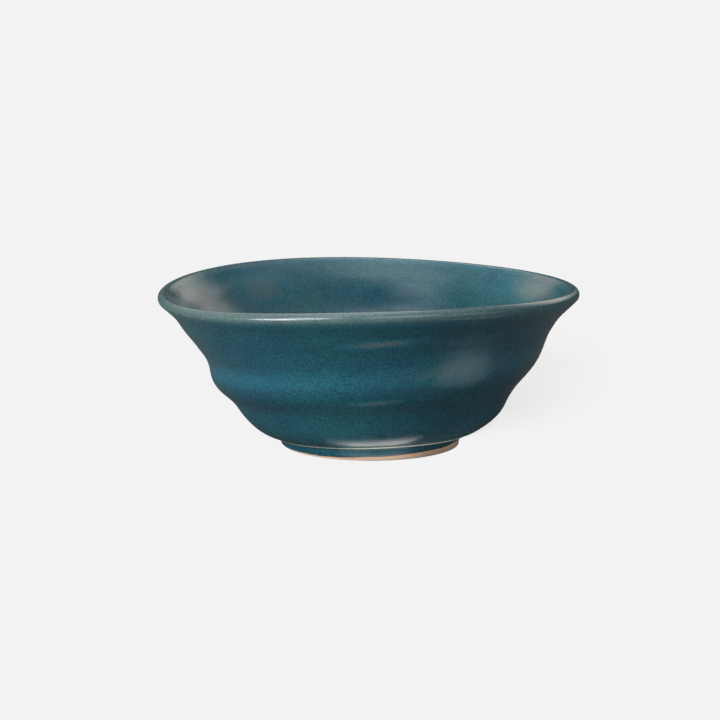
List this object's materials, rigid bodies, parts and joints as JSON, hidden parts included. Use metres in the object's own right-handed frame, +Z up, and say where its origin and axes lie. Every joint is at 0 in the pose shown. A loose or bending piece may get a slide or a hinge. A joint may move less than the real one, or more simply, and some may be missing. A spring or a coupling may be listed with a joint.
{
  "type": "prep bowl",
  "caption": "Small hand-thrown prep bowl with a flared, slightly uneven lip, a spirally ridged wall and a low foot ring, glazed inside and out down to the foot.",
  "frame": {"origin": "on the table, in the middle of the plane that the foot ring stands on", "axes": "+Z up through the middle of the bowl; -Y is the front that the picture shows, and +X is its right"},
  "size_m": [0.14, 0.14, 0.0551],
  "materials": {
    "bare_clay": "unglazed fired stoneware, peach buff, dry and fine-grained",
    "teal_glaze": "satin teal glaze with a fine mottled grain"
  },
  "bodies": {
    "root": {"clay_body": "bare_clay", "foot_ring": "bare_clay", "glaze_coat": "teal_glaze"}
  },
  "joints": []
}
